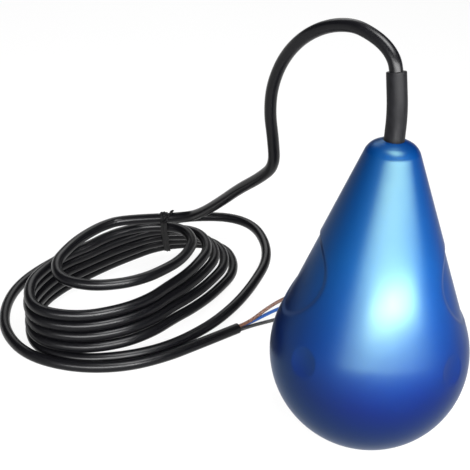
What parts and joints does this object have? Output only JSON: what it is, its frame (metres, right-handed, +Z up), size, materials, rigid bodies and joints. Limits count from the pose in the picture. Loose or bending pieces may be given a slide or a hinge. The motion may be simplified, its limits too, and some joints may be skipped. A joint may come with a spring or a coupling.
{
  "type": "cable float switch",
  "caption": "Pear-shaped cable float switch with a bend sleeve, a coiled cable with bared cores, and a snap switch worked by a swinging weight inside.",
  "frame": {"origin": "middle of the moulded flat under the float, on the surface that it stands on", "axes": "+Z up along the float's axis towards the tip, -Y towards the viewer, the coil behind and to the left at -X, +Y"},
  "size_m": [0.2639, 0.2632, 0.2123],
  "materials": {
    "float_plastic": "satin blue polypropylene, smooth",
    "sleeve_rubber": "matt black rubber",
    "cable_jacket": "smooth black cable jacket with a soft sheen",
    "seal_rubber": "plain black seal rubber",
    "frame_plastic": "natural moulded plastic",
    "switch_plastic": "black moulded switch case",
    "plunger_plastic": "red plunger",
    "zinc_steel": "zinc-plated steel",
    "stainless_steel": "turned stainless steel",
    "tab_brass": "tinned brass tab",
    "ballast_iron": "plain cast iron",
    "tie_plastic": "black plastic-covered tie wire",
    "core_brown": "brown core insulation",
    "core_blue": "blue core insulation",
    "core_black": "black core insulation",
    "copper": "bright bared copper strands"
  },
  "bodies": {
    "root": {"ballast_plate": "ballast_iron", "ballast_screw": "zinc_steel", "bend_sleeve": "sleeve_rubber", "cable": "cable_jacket", "cable_coil": "cable_jacket", "cable_entry": "cable_jacket", "cable_seal": "seal_rubber", "cable_tail": "cable_jacket", "cable_tie": "tie_plastic", "core_black": "core_black", "core_blue": "core_blue", "core_brown": "core_brown", "frame_screws": "zinc_steel", "gland_nut": "frame_plastic", "inner_core_black": "core_black", "inner_core_blue": "core_blue", "inner_core_brown": "core_brown", "lower_shell": "float_plastic", "pin_clip": "stainless_steel", "pivot_pin": "stainless_steel", "pivot_spacer": "frame_plastic", "strands_black": "copper", "strands_blue": "copper", "strands_brown": "copper", "switch_bolts": "zinc_steel", "switch_case": "switch_plastic", "switch_cover": "switch_plastic", "switch_frame": "frame_plastic", "switch_nuts": "zinc_steel", "tab_common": "tab_brass", "tab_normally_closed": "tab_brass", "tab_normally_open": "tab_brass", "upper_shell": "float_plastic"},
    "swing": {"swing_weight": "ballast_iron"},
    "plunger": {"plunger": "plunger_plastic"}
  },
  "joints": [
    {"name": "weight_swing", "type": "hinge", "parent": "root", "child": "swing", "pos_m": [0, 0, 0.072], "axis": [0, -1, 0], "range_deg": [0, 10]},
    {"name": "plunger_press", "type": "slide", "parent": "root", "child": "plunger", "axis": [0, 0, 1], "range_m": [0, 0.001]}
  ],
  "couplings": [
    {"joint": "plunger_press", "follows": "weight_swing", "m_per_rad": 0.00572}
  ]
}
